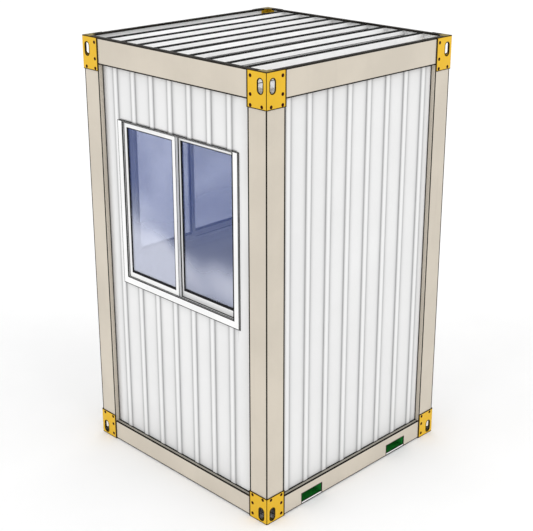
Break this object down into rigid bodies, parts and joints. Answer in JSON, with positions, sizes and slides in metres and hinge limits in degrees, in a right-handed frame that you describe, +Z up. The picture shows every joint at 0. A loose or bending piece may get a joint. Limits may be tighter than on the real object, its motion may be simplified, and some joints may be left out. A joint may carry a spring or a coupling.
{
  "type": "security guard booth",
  "caption": "Small steel-framed guard booth with ribbed white walls, sliding windows, a rear door, bolted corner plates and fork pockets.",
  "frame": {"origin": "middle of the base, on the ground plane", "axes": "+Z up, -Y out of the front wall with the window, +X out of the blank wall above the fork pockets"},
  "size_m": [1.64, 1.64, 2.8],
  "materials": {
    "frame_paint": "satin beige paint",
    "corner_paint": "satin yellow paint",
    "pocket_paint": "satin green paint",
    "joist_steel": "galvanised grey",
    "floor_board": "sealed board",
    "wall_panel": "matt white coating",
    "purlin_paint": "white paint",
    "window_glass": "clear with a blue cast",
    "white_trim": "white window profile",
    "door_paint": "white paint",
    "hardware_steel": "brushed"
  },
  "bodies": {
    "root": {"front_bottom_rail": "frame_paint", "right_bottom_rail": "frame_paint", "back_bottom_rail": "frame_paint", "left_bottom_rail": "frame_paint", "front_right_bottom_corner": "corner_paint", "back_right_bottom_corner": "corner_paint", "back_left_bottom_corner": "corner_paint", "front_left_bottom_corner": "corner_paint", "front_fork_pocket": "pocket_paint", "back_fork_pocket": "pocket_paint", "floor_joists": "joist_steel", "floor_panel": "floor_board", "front_right_post": "frame_paint", "back_right_post": "frame_paint", "back_left_post": "frame_paint", "front_left_post": "frame_paint", "front_top_rail": "frame_paint", "right_top_rail": "frame_paint", "back_top_rail": "frame_paint", "left_top_rail": "frame_paint", "front_right_top_corner": "corner_paint", "back_right_top_corner": "corner_paint", "back_left_top_corner": "corner_paint", "front_left_top_corner": "corner_paint", "roof_purlins": "purlin_paint", "ceiling_panel": "wall_panel", "front_wall": "wall_panel", "right_wall": "wall_panel", "left_wall": "wall_panel", "back_wall_left": "wall_panel", "back_wall_right": "wall_panel", "back_wall_over_door": "wall_panel", "front_window_frame": "white_trim", "front_window_outer_sash": "white_trim", "front_window_inner_sash": "white_trim", "front_window_glass": "window_glass", "left_window_frame": "white_trim", "left_window_outer_sash": "white_trim", "left_window_inner_sash": "white_trim", "left_window_glass": "window_glass", "door_frame": "white_trim", "door_leaf": "door_paint", "door_hinges": "hardware_steel", "door_handle": "hardware_steel"}
  },
  "joints": []
}
